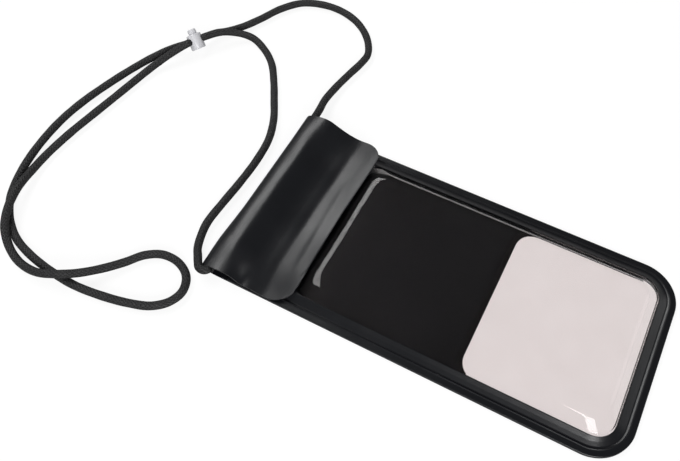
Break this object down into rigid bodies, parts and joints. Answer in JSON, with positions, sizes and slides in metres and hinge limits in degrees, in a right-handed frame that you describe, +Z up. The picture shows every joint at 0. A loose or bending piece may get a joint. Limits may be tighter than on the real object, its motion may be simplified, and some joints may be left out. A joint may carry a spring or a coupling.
{
  "type": "waterproof pouch",
  "caption": "Waterproof pouch with clear windows in a black moulded film body, a folded hook-and-loop closure, and a braided neck cord with a sprung cord lock",
  "frame": {"origin": "middle of the pouch's footprint without the cord, on the surface that the pouch lies on", "axes": "+X across the pouch, +Y from its rounded bottom end to the folded closure, +Z up, out of the front window"},
  "size_m": [0.2478, 0.3529, 0.0133],
  "materials": {
    "black_film": "satin black flexible film",
    "clear_film": "clear glossy flexible film",
    "seal_plastic": "black extruded press-seal profile",
    "strip_fabric": "black hook-and-loop tape",
    "cord_fabric": "black round braid",
    "lock_plastic": "milky translucent moulded plastic",
    "spring_steel": "bright spring wire"
  },
  "bodies": {
    "pouch": {"rear_panel": "black_film", "rear_window": "clear_film", "front_frame": "black_film", "front_window": "clear_film", "seal_channel_1": "seal_plastic", "seal_rib_1": "seal_plastic", "seal_channel_2": "seal_plastic", "seal_rib_2": "seal_plastic", "seal_channel_3": "seal_plastic", "seal_rib_3": "seal_plastic", "hook_strip": "strip_fabric", "loop_strip": "strip_fabric", "cord_right": "cord_fabric", "cord_loop": "cord_fabric", "cord_left": "cord_fabric", "cord_in_roll": "cord_fabric", "cord_clamped": "cord_fabric", "cord_lock_barrel": "lock_plastic", "cord_lock_spring": "spring_steel"},
    "lock_button": {"cord_lock_button": "lock_plastic"}
  },
  "joints": [
    {"name": "button_press", "type": "slide", "parent": "pouch", "child": "lock_button", "axis": [-0.3681, -0.5891, -0.7193], "range_m": [0, 0.0014], "stiffness_N_per_m": 800, "springref_m": -0.002, "deforming": ["cord_lock_spring"]}
  ]
}
